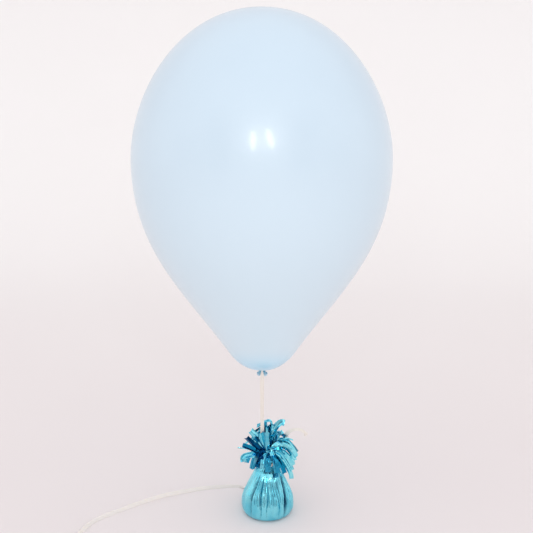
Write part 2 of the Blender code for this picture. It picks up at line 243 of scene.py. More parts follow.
# The room: an even pale glow, and a flat pale grey where the camera sees past the sweep. Only shiny
# surfaces see its darker corners, which give foil its depth.
world = bpy.data.worlds.new("room")
bpy.context.scene.world = world
world.use_nodes = True
room = Nodes(world.node_tree)
heading = room.node("TexCoord", {}, output="Generated")
glow = heading.part(2).spread(-0.3, 0.9).mix(colour(247, 242, 243), colour(255, 252, 252))
in_front = heading.part(1).spread(-0.05, -0.30)
below_lights = in_front * heading.part(2).spread(0.62, 0.40)
right_corner = heading.part(0).spread(0.34, 0.46) * heading.part(0).spread(0.80, 0.64)
left_corner = heading.part(0).spread(-0.36, -0.46) * heading.part(0).spread(-0.80, -0.64)
low_front = in_front * heading.part(2).spread(0.34, 0.22) * 0.42
dark = ((right_corner + left_corner) * below_lights * 0.8).math("MAXIMUM", low_front)
shiny = room.node("LightPath", {}, output="Is Glossy Ray")
seen = room.node("LightPath", {}, output="Is Camera Ray")
mirrored_room = (dark * shiny).mix(glow, colour(40, 66, 96))
backdrop = world.node_tree.nodes["Background"]
room.feed(backdrop.inputs["Color"], seen.mix(mirrored_room, colour(236, 232, 233)))
backdrop.inputs["Strength"].default_value = 1.08

# ---------------------------------------------------------------------------------------------
# The loose ribbon: 5 mm curling ribbon of cream polypropylene film with fine lengthwise ribs.
# Its tail leaves the hitch, drops behind the weight, crosses the floor on its lower edge, and its
# spare length is wound into a leaning coil that a narrow tie holds. A short cut end sticks up.
# ---------------------------------------------------------------------------------------------

RIBBON_WIDTH = 0.0050
RIBBON_FILM = 0.00014
RIBS = 22

TAIL_ROUTE = [
    (-0.0034, -0.0018, 0.0602),
    (-0.0036, 0.0040, 0.0594),
    (-0.0038, 0.0110, 0.0555),
    (-0.0045, 0.0185, 0.0465),
    (-0.0062, 0.0265, 0.0325),
    (-0.0095, 0.0345, 0.0175),
    (-0.0150, 0.0425, 0.0062),
    (-0.0230, 0.0485, 0.0014),
    (-0.0330, 0.0515, 0.0005),
    (-0.0550, 0.0490, 0.0006),
    (-0.0784, 0.0430, 0.0014),
    (-0.1030, 0.0330, 0.0025),
    (-0.1260, 0.0215, 0.0031),
    (-0.1490, 0.0070, 0.0023),
    (-0.1700, -0.0090, 0.0010),
    (-0.1850, -0.0210, 0.0006),
    (-0.1965, -0.0335, 0.0010),
    (-0.2035, -0.0490, 0.0022),
    (-0.2080, -0.0650, 0.0028),
    (-0.2110, -0.0800, 0.0030),
    (-0.2132, -0.0940, 0.0032),
    (-0.2145, -0.1060, 0.0033),
]
TAIL_FACINGS = [(-0.4, 0.3, 0.85)] * 3 + [(0.0, 0.0, 1.0)] * 5
TAIL_FACINGS += [
    (0.10, -0.30, 0.95),
    (0.25, -0.50, 0.85),
    (0.35, -0.62, 0.70),
    (0.45, -0.75, 0.50),
    (0.53, -0.85, 0.25),
    (0.52, -0.78, 0.40),
    (0.48, -0.65, 0.60),
    (0.50, -0.50, 0.70),
    (0.60, -0.35, 0.70),
    (0.80, -0.20, 0.55),
    (0.95, -0.05, 0.30),
    (1.00, 0.00, 0.00),
    (1.00, 0.00, 0.00),
    (1.00, 0.00, 0.00),
]
SHORT_END_ROUTE = [
    (0.0138, -0.0012, 0.0612),
    (0.0165, 0.0002, 0.0655),
    (0.0196, 0.0016, 0.0720),
    (0.0225, 0.0030, 0.0800),
    (0.0256, 0.0046, 0.0880),
    (0.0297, 0.0062, 0.0945),
    (0.0350, 0.0076, 0.0978),
    (0.0410, 0.0088, 0.0984),
    (0.0464, 0.0097, 0.0968),
    (0.0508, 0.0104, 0.0930),
    (0.0524, 0.0106, 0.0896),
]
SHORT_END_FACINGS = [(0.3, -0.9, 0.3)] * 3 + [(-0.3, -0.8, 0.6)] * 3 + [(-0.2, -0.3, 0.9)] * 5


def ribbon_film(name, **constants):
    """The cream film: fine ribs along it, which are bumped and also painted lighter and darker as painted
    sheen, and a faint fleck.
    """
    made = Finish(name, **constants)
    rib_relief_and_sheen = (made.uv.part(0) * (math.tau * RIBS)).math("SINE") * 0.5 + 0.5
    fleck = made.at.noise(900, detail=3.0)
    # Painted sheen: the ribs are painted lighter and darker in the film's colour.
    tone_with_painted_light = rib_relief_and_sheen * 0.35 + fleck * 0.65
    made.set("Base Color", tone_with_painted_light.mix(colour(226, 219, 210), colour(239, 233, 225)))
    made.set("Roughness", fleck.spread(0.3, 0.7, 0.30, 0.46))
    made.bump(rib_relief_and_sheen + fleck * 0.3, 0.35, 0.00006)
    return made


ribbon_finish = ribbon_film("ribbon_pulled_flat")
loose_finish = ribbon_film(
    "ribbon_lying_loose", Subsurface_Weight=0.6, Subsurface_Scale=0.0012, Subsurface_Radius=(1.0, 0.95, 0.8)
)


def curve_through(values, per_span):
    """A smooth curve through given values: each span is read at per_span places."""
    points = [Vector(value) for value in values]
    out = []
    for i in range(len(points) - 1):
        a, b, c, d = points[max(i - 1, 0)], points[i], points[i + 1], points[min(i + 2, len(points) - 1)]
        bend, swing = a * 2 - b * 5 + c * 4 - d, b * 3 - a - c * 3 + d
        for k in range(per_span):
            t = k / per_span
            out.append((b * 2 + (c - a) * t + bend * t**2 + swing * t**3) / 2)
    return out + [points[-1]]


def film(name, route, facings, widths, finish, thickness, across=6, shape=None):
    """A strip of film along a route. shape(u, v) lifts it off its flat face, in metres."""
    sides, ups = [], []
    last = len(route) - 1
    for i, point in enumerate(route):
        along = (route[min(i + 1, last)] - route[max(i - 1, 0)]).normalized()
        side = along.cross(facings[i]).normalized()
        sides.append(side)
        ups.append(side.cross(along))

    def place(u, v):
        i = min(round(v * last), last)
        lift = shape(u, v) if shape else 0.0
        return route[i] + sides[i] * (u - 0.5) * widths[i] + ups[i] * lift

    bm = grid(across, last, place)
    bmesh.ops.recalc_face_normals(bm, faces=bm.faces)
    bmesh.ops.solidify(bm, geom=bm.faces[:], thickness=thickness)
    return piece(name, bm, finish, recalculate=False)


def route_length(route):
    """The length of a route, in metres."""
    return sum((b - a).length for a, b in zip(route, route[1:]))


def opening_out(start, growth, route):
    """Widths of a ribbon that is drawn narrow at a knot and opens out to its full width."""
    return [min(RIBBON_WIDTH, start + growth * i) for i in range(len(route))]


COIL_TURN_GAP = 0.0021
COIL_EYE = 0.0135
COIL_START = math.radians(182)
COIL_LEAN = math.radians(-40)
COIL_STEPS_PER_TURN = 40
COIL_CLEARANCE = 0.0003
# The first twelfth of the coil leans over from the upright tail and sinks to the floor
COIL_SETTLES = 12
LEAD_IN = 6

coil_low, coil_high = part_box("ribbon_coil")
coil_middle = (coil_low + coil_high) / 2
coil_outer = (coil_high.x - coil_low.x) / 2 - 0.0004
coil_turns = (coil_outer - COIL_EYE) / COIL_TURN_GAP
coil_z = coil_low.z + RIBBON_WIDTH / 2 * math.cos(COIL_LEAN) + COIL_CLEARANCE

coil_route, coil_facings = [], []
coil_steps = round(coil_turns * COIL_STEPS_PER_TURN)
for step in range(coil_steps + 1):
    share = step / coil_steps
    angle = COIL_START + math.tau * coil_turns * share
    radius = coil_outer - (coil_outer - COIL_EYE) * share + 0.0002 * math.sin(angle * 3)
    wander = 0.0001 * math.sin(angle * 5 + share * 9)
    out = Vector((math.cos(angle), math.sin(angle), 0))
    lean = COIL_LEAN * min(1.0, COIL_SETTLES * share)
    rise = (coil_middle.z - coil_z) * max(0.0, 1 - COIL_SETTLES * share)
    coil_route.append(Vector((coil_middle.x, coil_middle.y, coil_z + wander + rise)) + out * radius)
    coil_facings.append(-out * math.cos(lean) + Vector((0, 0, math.sin(lean))))

tail_route = curve_through(TAIL_ROUTE, 8)
tail_facings = curve_through(TAIL_FACINGS, 8)
for step in range(1, LEAD_IN):
    tail_route.append(Vector(TAIL_ROUTE[-1]).lerp(coil_route[0], step / LEAD_IN))
    tail_facings.append(Vector((1, 0, 0)))
tail_widths = opening_out(0.0022, 0.00012, tail_route)

# The tail's lower edge rests on the floor, and never goes through it
for i, point in enumerate(tail_route[1:-1], start=1):
    along = (tail_route[i + 1] - tail_route[i - 1]).normalized()
    edge = abs(along.cross(tail_facings[i]).normalized().z) * tail_widths[i] / 2
    point.z = max(point.z, edge + RIBBON_FILM)

loose_route = tail_route + coil_route
ribbon_loose = film(
    "ribbon_loose",
    loose_route,
    tail_facings + coil_facings,
    tail_widths + [RIBBON_WIDTH] * len(coil_route),
    loose_finish,
    RIBBON_FILM,
    across=4,
)
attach(ribbon_loose, "weight")
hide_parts("ribbon_tail", "ribbon_coil")

coil_tie = frame["nodes"]["coil_tie"]
coil_tie.data.materials.clear()
coil_tie.data.materials.append(loose_finish.material)

route_length(loose_route)
[tuple(point) for point in loose_route]

short_route = curve_through(SHORT_END_ROUTE, 6)
ribbon_short = film(
    "ribbon_cut_end",
    short_route,
    curve_through(SHORT_END_FACINGS, 6),
    opening_out(0.0022, 0.00016, short_route),
    ribbon_finish,
    RIBBON_FILM,
)
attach(ribbon_short, "weight")
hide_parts("ribbon_short_end")
route_length(short_route)

# ---------------------------------------------------------------------------------------------
# The taut ribbon, from the hitch up to the balloon: the same film, pulled flat by the balloon.
# It is one length, cut here where one bend's bodies end and the next one's start.
# ---------------------------------------------------------------------------------------------

TETHER_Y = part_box("tether_span_lower")[0].y / 2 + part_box("tether_span_lower")[1].y / 2
BEND = 0.0028
TURN_AT_ENDS = 10
TURN_HALFWAY = 28
TURN_LOW_Z = 0.075
TURN_RISE = 0.100
POINT_GAP = 0.0005


def tether_facing(z):
    """The way the taut ribbon faces at a height: a slow, slight turn on its way up and back."""
    share = min(1.0, max(0.0, (z - TURN_LOW_Z) / TURN_RISE))
    turn = math.radians(TURN_AT_ENDS + TURN_HALFWAY * math.sin(share * math.pi))
    return Vector((math.sin(turn), -math.cos(turn), 0))


def taut(name, low, high, *nodes):
    """A straight stretch of the taut ribbon, with a point every half millimetre."""
    steps = max(4, round((high - low) / POINT_GAP))
    route = [Vector((0, TETHER_Y, low + (high - low) * i / steps)) for i in range(steps + 1)]
    facings = [tether_facing(point.z) for point in route]
    made = film(name, route, facings, [RIBBON_WIDTH] * len(route), ribbon_finish, RIBBON_FILM)
    if nodes:
        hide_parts(*nodes)
    return made


joint_z = {joint["name"]: joint["pos_m"][2] for joint in frame["joints"]}
sway_x, sway_y = joint_z["sway_fore_aft"], joint_z["sway_sideways"]
twist_z, rock_x, rock_y = joint_z["ribbon_twist"], joint_z["rock_fore_aft"], joint_z["rock_sideways"]
foot_z = sway_x - BEND
span_low_z = sway_y + BEND
span_high_z = rock_x - BEND
top_z = rock_y + BEND

bend_foot = taut("ribbon_bend_foot", foot_z, sway_x + BEND, "tether_bend_lower")
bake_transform(bend_foot)
bend_lower = taut("ribbon_bend_lower", sway_x + BEND, span_low_z, "tether_span_lower")
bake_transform(bend_lower)
span = taut("ribbon_span", span_low_z, span_high_z, "tether_span_upper")
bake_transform(span)
bend_upper = taut("ribbon_bend_upper", span_high_z, rock_x + BEND, "tether_bend_upper")
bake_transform(bend_upper)
bend_head = taut("ribbon_bend_head", rock_x + BEND, top_z)
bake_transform(bend_head)

hitch_knot_low, hitch_knot_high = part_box("ribbon_hitch_knot")
hitch_knot = (hitch_knot_low + hitch_knot_high) / 2
RISER_ROUTE = [
    (hitch_knot.x, TETHER_Y, hitch_knot_high.z - 0.0008),
    (hitch_knot.x, TETHER_Y, hitch_knot_high.z + 0.0070),
    (-0.0017, TETHER_Y, 0.0800),
    (-0.0003, TETHER_Y, 0.0920),
    (0.0, TETHER_Y, 0.1040),
    (0.0, TETHER_Y, foot_z),
]
riser_route = curve_through(RISER_ROUTE, 8)
riser = film(
    "ribbon_riser_strip",
    riser_route,
    [tether_facing(point.z) for point in riser_route],
    opening_out(0.0018, 0.00014, riser_route),
    ribbon_finish,
    RIBBON_FILM,
)
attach(riser, "weight")
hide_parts("ribbon_riser")

neck_knot_low, neck_knot_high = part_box("ribbon_neck_knot")
TOP_ROUTE = [
    (0, TETHER_Y, top_z),
    (0, TETHER_Y, top_z + 0.0030),
    (0, TETHER_Y, top_z + 0.0055),
    (0, TETHER_Y, top_z + 0.0080),
    (0, TETHER_Y, neck_knot_low.z + 0.0005),
]
top_route = curve_through(TOP_ROUTE, 6)
top_widths = [max(0.0018, RIBBON_WIDTH - 0.00022 * max(0, i - 10)) for i in range(len(top_route))]
top_strip = film(
    "ribbon_top_strip",
    top_route,
    [tether_facing(point.z) for point in top_route],
    top_widths,
    ribbon_finish,
    RIBBON_FILM,
)
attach(top_strip, "balloon")
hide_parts("tether_top")

# ---------------------------------------------------------------------------------------------
# The ribbon's knots: three turns of ribbon drawn tight round the balloon's neck, and two round the
# gathered neck of the foil, each with the lump of its overhand knot.
# ---------------------------------------------------------------------------------------------

WOUND_STEPS_PER_TURN = 28


def wound(name, middle, radius, width, turns, drift, node, body):
    """Turns of ribbon wrapped flat round a neck, with each turn slightly askew."""
    steps = turns * WOUND_STEPS_PER_TURN
    route, facings = [], []
    for i in range(steps + 1):
        angle = math.tau * i / WOUND_STEPS_PER_TURN
        share = i / steps
        out = Vector((math.cos(angle), math.sin(angle), 0))
        z = drift * (share - 0.5) + 0.0004 * math.sin(angle * 2 + 1)
        route.append(middle + out * (radius + 0.0002 * share) + Vector((0, 0, z)))
        facings.append(out)
    made = film(name, route, facings, [width] * (steps + 1), ribbon_finish, RIBBON_FILM)
    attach(made, body)
    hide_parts(node)
    return made


def spin_round(bm, geom, steps):
    """Turns a profile all the way round the upright axis, and joins its end to its start."""
    bmesh.ops.spin(
        bm, geom=geom, cent=(0, 0, 0), axis=(0, 0, 1), angle=math.tau, steps=steps, use_merge=True
    )


def ring(wide, high, radius, sides, steps):
    """A ring whose section is an oval: half its width, half its height, then the ring's radius."""
    bm = bmesh.new()
    bmesh.ops.create_circle(bm, segments=sides, radius=1.0)
    section = bm.verts[:]
    bmesh.ops.scale(bm, vec=(wide, high, 1), verts=section)
    bmesh.ops.rotate(bm, cent=(0, 0, 0), matrix=Matrix.Rotation(math.pi / 2, 3, "X"), verts=section)
    bmesh.ops.translate(bm, vec=(radius, 0, 0), verts=section)
    spin_round(bm, bm.verts[:] + bm.edges[:], steps)
    return bm


def knot_of_ribbon(name, middle, size, turn, node, body):
    """An overhand knot in ribbon: a short closed loop of folded film that crosses itself."""
    bm = ring(0.42, 0.24, 0.62, sides=10, steps=48)
    for v in bm.verts:
        angle = math.atan2(v.co.y, v.co.x)
        around = math.hypot(v.co.x, v.co.y)
        v.co.z += 0.34 * math.sin(2 * angle)
        pinch = 1.0 + 0.28 * math.cos(3 * angle)
        v.co.x *= pinch
        v.co.y *= pinch
        v.co += Vector(noise.noise_vector(v.co * 3.1)) * 0.06 * around
    bmesh.ops.rotate(bm, cent=(0, 0, 0), matrix=Matrix.Rotation(turn, 3, "Y"), verts=bm.verts)
    bmesh.ops.scale(bm, vec=size, verts=bm.verts)
    bmesh.ops.translate(bm, vec=middle, verts=bm.verts)
    made = piece(name, bm, ribbon_finish)
    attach(made, body)
    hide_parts(node)
    return made


neck_loop_low, neck_loop_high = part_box("ribbon_neck_loop")
neck_loop = (neck_loop_low + neck_loop_high) / 2
wound("ribbon_turns_on_balloon", neck_loop, 0.0026, 0.0012, 3, 0.0006, "ribbon_neck_loop", "balloon")
knot_of_ribbon(
    "ribbon_knot_on_balloon",
    (neck_knot_low + neck_knot_high) / 2,
    (0.0017, 0.0011, 0.0013),
    math.radians(70),
    "ribbon_neck_knot",
    "balloon",
)
hitch_low, hitch_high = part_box("ribbon_hitch_loop")
hitch_loop = (hitch_low + hitch_high) / 2
wound("ribbon_turns_on_weight", hitch_loop, 0.0067, 0.0036, 2, 0.0010, "ribbon_hitch_loop", "weight")
knot_of_ribbon(
    "ribbon_knot_on_weight",
    hitch_knot,
    (0.0021, 0.0027, 0.0027),
    math.radians(80),
    "ribbon_hitch_knot",
    "weight",
)

# ---------------------------------------------------------------------------------------------
# The balloon: pastel blue latex, dipped and blown. Stretched thin it is pale and satiny, its colour is
# painted paler low down and darker towards the crown as painted light, and the colour deepens towards
# the neck, where the rubber is stretched least.
# ---------------------------------------------------------------------------------------------

LATEX_WALL = 0.00012
OPENING_RADIUS = 0.0029
CONE_RADIUS = 0.0387
CONE_RISE = 0.0221
CONE_SLOPE = math.radians(33.8)
WAIST_SHARE = 0.5973

# How far the outline keeps its direction on each side of the opening, cone, waist and crown
OPENING_HOLD = 0.002
CONE_HOLD_DOWN = 0.028
CONE_HOLD_UP = 0.0936
WAIST_HOLD_DOWN = 0.0933
WAIST_HOLD_UP = 0.0711
CROWN_HOLD = 0.087

# The shallow pleats where the latex gathers round the opening
GATHER_RADIUS = 0.004
GATHER_REACH = 0.006
GATHER_DEPTH = 0.00022
GATHER_PLEATS = 14

balloon_low, balloon_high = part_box("balloon_envelope")
balloon_radius = (balloon_high.x - balloon_low.x) / 2
balloon_length = balloon_high.z - balloon_low.z
waist_z = balloon_low.z + balloon_length * WAIST_SHARE


def bezier(start, start_handle, end_handle, end, steps):
    """Points along one curve from start to end, which its two handles pull out."""
    points = []
    for i in range(steps + 1):
        t = i / steps
        s = 1 - t
        points.append(start * s**3 + start_handle * 3 * s * s * t + end_handle * 3 * s * t * t + end * t**3)
    return points


slope = Vector((math.sin(CONE_SLOPE), math.cos(CONE_SLOPE)))
cone = Vector((CONE_RADIUS, balloon_low.z + CONE_RISE))
opening = Vector((OPENING_RADIUS, balloon_low.z))
waist = Vector((balloon_radius, waist_z))
crown = Vector((0.0, balloon_high.z))
bottom_curve = bezier(opening, opening + Vector((OPENING_HOLD, 0)), cone - slope * CONE_HOLD_DOWN, cone, 22)
flank_curve = bezier(cone, cone + slope * CONE_HOLD_UP, waist - Vector((0, WAIST_HOLD_DOWN)), waist, 40)
crown_curve = bezier(waist, waist + Vector((0, WAIST_HOLD_UP)), crown + Vector((CROWN_HOLD, 0)), crown, 44)
balloon_curve = bottom_curve + flank_curve[1:] + crown_curve[1:]

latex = Finish("latex_stretched", Specular_IOR_Level=0.5, Coat_Weight=0.35, Coat_Roughness=0.11)
latex_z = latex.at.part(2)
crown_painted_shade = latex_z.spread(balloon_low.z + 0.02, balloon_high.z + 0.02)
at_neck = latex_z.spread(balloon_low.z - 0.001, balloon_low.z + 0.052, 1.0, 0.0)
cloud = latex.at.noise(9, detail=4.0, roughness=0.6)
grain = latex.at.noise(420, detail=3.0, roughness=0.65)
# Painted light: the latex is painted paler low down and darker towards the crown.
pale = crown_painted_shade.mix(colour(216, 237, 248), colour(195, 215, 230))
clouded = (cloud.spread(0.3, 0.7) * 0.10).mix(pale, colour(215, 235, 247))
deep = (at_neck * at_neck).mix(clouded, colour(180, 230, 255))
latex.set("Base Color", (grain.spread(0.58, 0.75) * 0.08).mix(deep, colour(236, 244, 250)))
latex.set("Roughness", cloud.spread(0.3, 0.7, 0.28, 0.33))
latex.bump(grain * 0.7 + cloud * 0.3, 0.10, 0.0002)


def lathe(outline, steps, closed=False):
    """Turns an outline of (radius, height) pairs all the way round the upright axis."""
    bm = bmesh.new()
    verts = [bm.verts.new((radius, 0, z)) for radius, z in outline]
    ends = verts[1:] + verts[:1] if closed else verts[1:]
    edges = [bm.edges.new(pair) for pair in zip(verts, ends)]
    spin_round(bm, verts + edges, steps)
    return bm


bm = lathe(balloon_curve, 160)
bmesh.ops.remove_doubles(bm, verts=bm.verts, dist=1e-6)
for v in bm.verts:
    radius = math.hypot(v.co.x, v.co.y)
    angle = math.atan2(v.co.y, v.co.x)
    gather = math.exp(-(((radius - GATHER_RADIUS) / GATHER_REACH) ** 2)) if v.co.z < cone.y else 0.0
    fold = GATHER_DEPTH * gather * math.sin(angle * GATHER_PLEATS + 2 * math.sin(angle * 3))
    v.co.z += min(0.0, fold) + GATHER_DEPTH * gather
bmesh.ops.recalc_face_normals(bm, faces=bm.faces)
bmesh.ops.solidify(bm, geom=bm.faces[:], thickness=LATEX_WALL)
balloon = piece("latex_balloon", bm, latex, recalculate=False)
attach(balloon, "balloon")
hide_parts("balloon_envelope")

# ---------------------------------------------------------------------------------------------
# The neck below the balloon: unstretched latex of the same moulding, so its blue is deeper.
# It is tied in an overhand knot, and its mouth flares out to the rolled bead.
# ---------------------------------------------------------------------------------------------

LUMP_Z = 0.1753
STEM_PLEATS = 9
STEM_PLEAT_DEPTH = 0.10
STEM_LEANS_BACK = 0.0022
WRAP_THICKNESS = 0.00125
WRAP_RADIUS = 0.0024
BEAD_RADIUS = 0.00105
MOUTH_STARTS = 0.0020
MOUTH_REACH = 0.0040

knot_low, knot_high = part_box("latex_knot")
lip_low, lip_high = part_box("rolled_lip")
lip_middle = (lip_low + lip_high) / 2

neck_latex = Finish(
    "latex_unstretched", Roughness=0.28, Specular_IOR_Level=0.5, Coat_Weight=0.4, Coat_Roughness=0.12
)
stretch_mark = neck_latex.at.noise(700, detail=3.0, stretch=(1, 1, 0.25))
tied = stretch_mark.spread(0.3, 0.7).mix(colour(76, 157, 190), colour(132, 197, 217))
# Painted light: the rolled bead is painted paler than the tied neck.
bead_marks_and_painted_light = stretch_mark.spread(0.3, 0.7).mix(colour(160, 202, 220), colour(212, 228, 236))
towards_bead = neck_latex.at.part(2).spread(lip_high.z - 0.0002, lip_low.z + 0.0012)
neck_latex.set("Base Color", towards_bead.mix(tied, bead_marks_and_painted_light))
neck_latex.bump(stretch_mark, 0.3, 0.0002)


def neck_stem():
    """The gathered neck: a pleated stem from inside the balloon down to the flare of the mouth."""
    outline = [
        (0.0017, knot_high.z),
        (0.0020, knot_high.z - 0.0006),
        (0.0019, knot_high.z - 0.0020),
        (0.0022, LUMP_Z + 0.0012),
        (0.0022, LUMP_Z - 0.0014),
        (0.0019, knot_low.z + 0.0002),
    ]
    bm = lathe(outline, 72)
    bmesh.ops.holes_fill(bm, edges=bm.edges[:], sides=100)
    upright = [e for e in bm.edges if abs(e.verts[0].co.z - e.verts[1].co.z) > 1e-5]
    bmesh.ops.subdivide_edges(bm, edges=upright, cuts=3)
    for v in bm.verts:
        angle = math.atan2(v.co.y, v.co.x)
        pleat = 1.0 + STEM_PLEAT_DEPTH * math.sin(angle * STEM_PLEATS + v.co.z * 900)
        v.co.x *= pleat
        v.co.y *= pleat
        share = (knot_high.z - v.co.z) / (knot_high.z - knot_low.z)
        v.co.y += STEM_LEANS_BACK * share**2
    return bm


def knot_wrap():
    """The turn of the overhand knot: a thick, creased roll of latex that slants round the stem."""
    bm = ring(WRAP_THICKNESS, WRAP_THICKNESS, WRAP_RADIUS, sides=18, steps=96)
    for v in bm.verts:
        angle = math.atan2(v.co.y, v.co.x)
        crease = 0.00016 * math.sin(angle * 11 + 3 * math.sin(angle)) * (v.co.xy.length - 0.0012) / 0.0012
        v.co.x += crease * math.cos(angle)
        v.co.y += crease * math.sin(angle)
        v.co.z *= 1.0 + 0.25 * math.sin(angle * 2 + 0.6)
        v.co.z += 0.00075 * math.sin(angle + 0.8)
    bmesh.ops.translate(bm, vec=(0, 0.0008, LUMP_Z), verts=bm.verts)
    return bm


def mouth():
    """The flared mouth: a creased skirt of latex that opens from the stem to the rolled bead."""
    bead_middle = lip_high.x - BEAD_RADIUS
    bead_z = lip_low.z + BEAD_RADIUS
    outline = [(0.0018, lip_high.z + 0.0003), (0.0024, lip_high.z - 0.0004), (0.0036, lip_high.z - 0.0008)]
    for degrees in range(150, -187, -24):
        turn = math.radians(degrees)
        outline.append((bead_middle + BEAD_RADIUS * math.cos(turn), bead_z + BEAD_RADIUS * math.sin(turn)))
    outline += [(0.0034, bead_z + 0.0004), (0.0016, lip_high.z - 0.0010)]
    bm = lathe(outline, 144, closed=True)
    for v in bm.verts:
        angle = math.atan2(v.co.y, v.co.x)
        reach = min(1.0, max(0.0, (v.co.xy.length - MOUTH_STARTS) / MOUTH_REACH))
        wave = math.sin(angle * 3 + 0.5) * 0.00045 + math.sin(angle * 7 + 1.0) * 0.00018
        v.co.z += wave * reach + 0.0001 * math.sin(angle * 22) * (1 - reach)
        squeeze = 1.0 - 0.05 * reach * (1 + math.sin(angle * 2 + 0.9))
        v.co.x *= squeeze
        v.co.y *= squeeze
    bmesh.ops.translate(bm, vec=(0, lip_middle.y, 0), verts=bm.verts)
    return bm


for name, shaped, node in (
    ("neck_stem", neck_stem(), None),
    ("neck_knot_wrap", knot_wrap(), "latex_knot"),
    ("neck_mouth", mouth(), "rolled_lip"),
):
    made = piece(name, shaped, neck_latex)
    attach(made, "balloon")
    if node:
        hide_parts(node)

# ---------------------------------------------------------------------------------------------
# The foil over the weight: turquoise metallised film, gathered in sharp folds from the hem under
# the cup up to the neck, and crumpled by hand all over.
# ---------------------------------------------------------------------------------------------

wrap_low, wrap_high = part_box("foil_wrap")
weight_middle = (wrap_low + wrap_high) / 2
FOIL_FILM = 0.00006
SKIRT_FOOT = 0.001
SKIRT_RISE = 0.056
CRUMPLE = 0.00045

# The creases: how far one strays from a straight line (degrees), and how deep one pinches before its
# painted shade is at its darkest (mm). Then how many small gathers there are at the neck, and their depth
CREASE_STRAYS = 2.6
SHADE_DARKEST_AT = 2.8
GATHERS = 29
GATHER_DEEP = 0.45

# Main creases of the skirt: where round the weight (degrees), how deep (mm), and how far the
# crease leans on its way from the hem to the neck (degrees)
SKIRT_CREASES = [
    (-168, 0.7, 4),
    (-131, 2.4, 8),
    (-119, 0.9, 4),
    (-107, 2.6, 3),
    (-98, 1.0, -4),
    (-91, 2.2, -4),
    (-78, 1.4, -9),
    (-64, 2.0, 2),
    (-54, 0.9, 12),
    (-42, 3.8, 30),
    (-27, 1.2, 28),
    (-16, 2.2, 26),
    (0, 1.4, 18),
    (15, 2.4, 5),
    (30, 1.3, -3),
    (44, 2.6, 4),
    (60, 1.5, 6),
    (73, 2.6, -4),
    (88, 1.3, 3),
    (104, 2.7, -6),
    (118, 1.5, 5),
    (134, 2.5, 3),
    (147, 1.2, -5),
    (163, 2.2, 4),
    (178, 1.4, 2),
]

# The foil is painted dark as painted shade where the attribute "fold" is 1, down in the deepest creases,
# standing in for film that mirrors nothing but darker film
foil = Finish("foil_turquoise", Metallic=1.0)
foil_dent = foil.at.noise(110, detail=2.0, stretch=(1, 1, 0.5))
foil_crease = foil.at.noise(420, detail=2.0, stretch=(1, 1, 0.3))
foil_fine = foil.at.noise(1500, detail=1.0)
foil_crease_shade = foil.node("Attribute", {}, output="Fac", attribute_name="fold")
foil_open = foil_dent.spread(0.35, 0.65).mix(colour(114, 214, 235), colour(142, 232, 247))
foil.set("Base Color", foil_crease_shade.mix(foil_open, colour(3, 66, 104)))
foil.set("Roughness", foil_fine.spread(0.3, 0.7, 0.13, 0.24))
foil.bump(foil_dent + foil_crease * 0.35 + foil_fine * 0.03, 0.5, 0.0008)

skirt_outline = [
    (0.0195, wrap_low.z + 0.0003),
    (0.0238, wrap_low.z + 0.0003),
    (0.0282, 0.0024),
    (0.0308, 0.0070),
    (0.0315, 0.0120),
    (0.0309, 0.0190),
    (0.0286, 0.0270),
    (0.0232, 0.0380),
    (0.0190, 0.0470),
    (0.0146, 0.0535),
    (0.0092, 0.0577),
    (0.0064, 0.0605),
    (0.0061, wrap_high.z),
]


def skirt_depth(degrees, share):
    """How far the creases pull the foil in, in metres, and how dark that spot is painted as painted shade,
    0 to 1.
    It is found between the two creases on either side, at a share of the way up the skirt."""
    low_gap, low_depth, high_gap, high_depth = 360.0, 0.0, 360.0, 0.0
    for middle, deep, lean in SKIRT_CREASES:
        wander = CREASE_STRAYS * math.sin(8 * share + middle)
        off = (degrees - middle - lean * (share - 0.35) - wander) % 360
        if off < low_gap:
            low_gap, low_depth = off, deep
        if 360 - off < high_gap:
            high_gap, high_depth = 360 - off, deep
    t = low_gap / (low_gap + high_gap)
    rise = math.sin(math.pi * share**0.95)
    pinch = low_depth * (1 - t) ** (5 - 0.8 * low_depth) + high_depth * t ** (5 - 0.8 * high_depth)
    gathers = GATHER_DEEP * share**3 * (0.5 + 0.5 * math.sin(math.radians(degrees) * GATHERS))
    # Painted shade: the deepest creases are painted dark.
    fold = min(1.0, (pinch / SHADE_DARKEST_AT) ** 3) * rise
    return (pinch * (0.05 + 1.02 * rise) + gathers) / 1000, fold


bm = lathe(curve_through(skirt_outline, 7), 420)
bmesh.ops.remove_doubles(bm, verts=bm.verts, dist=1e-7)
crease_shade_layer = bm.verts.layers.float.new("fold")
for v in bm.verts:
    radius = math.hypot(v.co.x, v.co.y)
    out = Vector((v.co.x / radius, v.co.y / radius, 0))
    share = min(1.0, max(0.0, (v.co.z - SKIRT_FOOT) / SKIRT_RISE))
    depth, v[crease_shade_layer] = skirt_depth(math.degrees(math.atan2(v.co.y, v.co.x)), share)
    fade = min(1.0, share / 0.06)
    shrink = min(1.0, radius / 0.016) ** 1.5
    spot = Vector((v.co.x, v.co.y, v.co.z * 0.32))
    # Dents and ridges of three sizes, and sharp lines along the borders of a broken pattern
    crumple = noise.noise(spot * 150) * 0.6 + abs(noise.noise(spot * 80 + Vector((3, 7, 1)))) * 0.9
    near, far = noise.voronoi(spot * 230)[0][:2]
    crumple += 0.55 * max(0.0, 1 - 3.2 * (far - near)) + 0.30 * noise.noise(spot * 330)
    v.co -= out * (depth * shrink * (0.3 + 0.7 * fade) + CRUMPLE * crumple * fade)
bmesh.ops.translate(bm, vec=(weight_middle.x, weight_middle.y, 0), verts=bm.verts)
bmesh.ops.recalc_face_normals(bm, faces=bm.faces)
bmesh.ops.solidify(bm, geom=bm.faces[:], thickness=FOIL_FILM)
skirt = piece("foil_skirt", bm, foil, recalculate=False)
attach(skirt, "weight")
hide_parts("foil_wrap")

